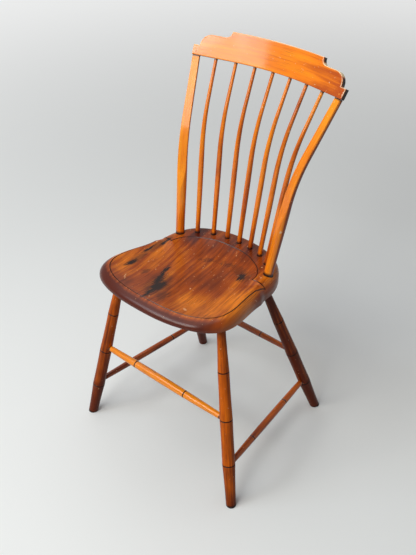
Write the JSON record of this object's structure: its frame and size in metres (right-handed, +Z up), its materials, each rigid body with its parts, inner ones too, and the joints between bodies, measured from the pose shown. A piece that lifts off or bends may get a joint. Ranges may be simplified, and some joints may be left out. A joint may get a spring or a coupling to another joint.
{
  "type": "spindle-back side chair",
  "caption": "Wooden side chair with a dished plank seat, ringed turned legs, box stretchers and a bent spindle back under a stepped crest rail.",
  "frame": {"origin": "on the floor under the middle of the whole chair", "axes": "+Z up, -Y towards the front of the seat, +X to the right of a viewer who looks at the front"},
  "size_m": [0.4571, 0.4469, 0.8434],
  "materials": {
    "seat_wood": "old dark varnish, worn, with black stains and scratches",
    "leg_wood": "old orange-brown varnish, darker low down",
    "stretcher_wood": "old orange varnish, glossy where worn",
    "spindle_wood": "old orange-brown varnish with small chips",
    "stile_wood": "old orange-brown varnish with small chips",
    "crest_wood": "old orange varnish with fine grain, dark on the edges",
    "pin_wood": "dark bare end grain"
  },
  "bodies": {
    "root": {"seat": "seat_wood", "leg_front_left": "leg_wood", "leg_front_right": "leg_wood", "leg_rear_left": "leg_wood", "leg_rear_right": "leg_wood", "stretcher_front": "stretcher_wood", "stretcher_rear": "stretcher_wood", "stretcher_left": "stretcher_wood", "stretcher_right": "stretcher_wood", "spindle_1": "spindle_wood", "spindle_2": "spindle_wood", "spindle_3": "spindle_wood", "spindle_4": "spindle_wood", "spindle_5": "spindle_wood", "spindle_6": "spindle_wood", "spindle_7": "spindle_wood", "stile_left": "stile_wood", "stile_right": "stile_wood", "crest_rail": "crest_wood", "crest_pin_left": "pin_wood", "crest_pin_right": "pin_wood"}
  },
  "joints": []
}
